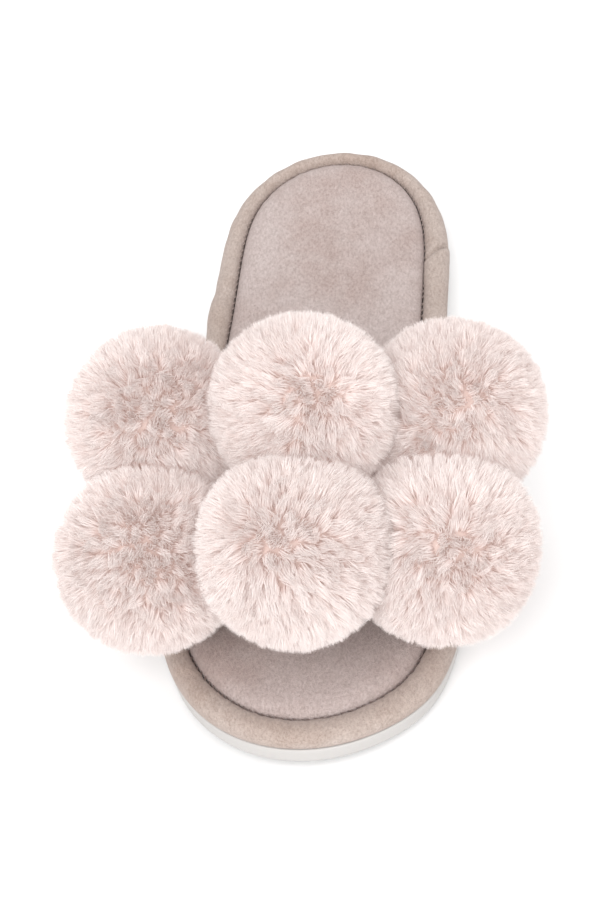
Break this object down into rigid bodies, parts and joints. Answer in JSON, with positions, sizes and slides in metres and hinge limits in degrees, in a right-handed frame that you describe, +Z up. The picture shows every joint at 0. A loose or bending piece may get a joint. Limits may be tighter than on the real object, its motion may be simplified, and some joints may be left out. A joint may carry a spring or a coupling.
{
  "type": "pom-pom slipper",
  "caption": "Open-toe mule slipper for the right foot: flat foam sole, padded footbed with a rolled edge, and an arched band carrying round faux fur pom-poms.",
  "frame": {"origin": "on the floor under the flat middle of the sole, half way along its length", "axes": "-Y points to the toe and +Y to the heel, -X is the outer side and +X the inner side of the right foot, +Z is up"},
  "size_m": [0.1449, 0.25, 0.1073],
  "materials": {
    "white_foam": "matte white moulded foam",
    "edge_velour": "short-pile velour, warm beige",
    "footbed_velour": "short-pile velour, pinkish grey",
    "blush_fur": "long-pile faux fur, pale blush with paler tips"
  },
  "bodies": {
    "root": {"outsole": "white_foam", "edge_roll": "edge_velour", "insole": "footbed_velour", "upper_band": "footbed_velour", "pompom_front_lateral": "blush_fur", "pompom_front_middle": "blush_fur", "pompom_front_medial": "blush_fur", "pompom_back_lateral": "blush_fur", "pompom_back_middle": "blush_fur", "pompom_back_medial": "blush_fur"}
  },
  "joints": []
}
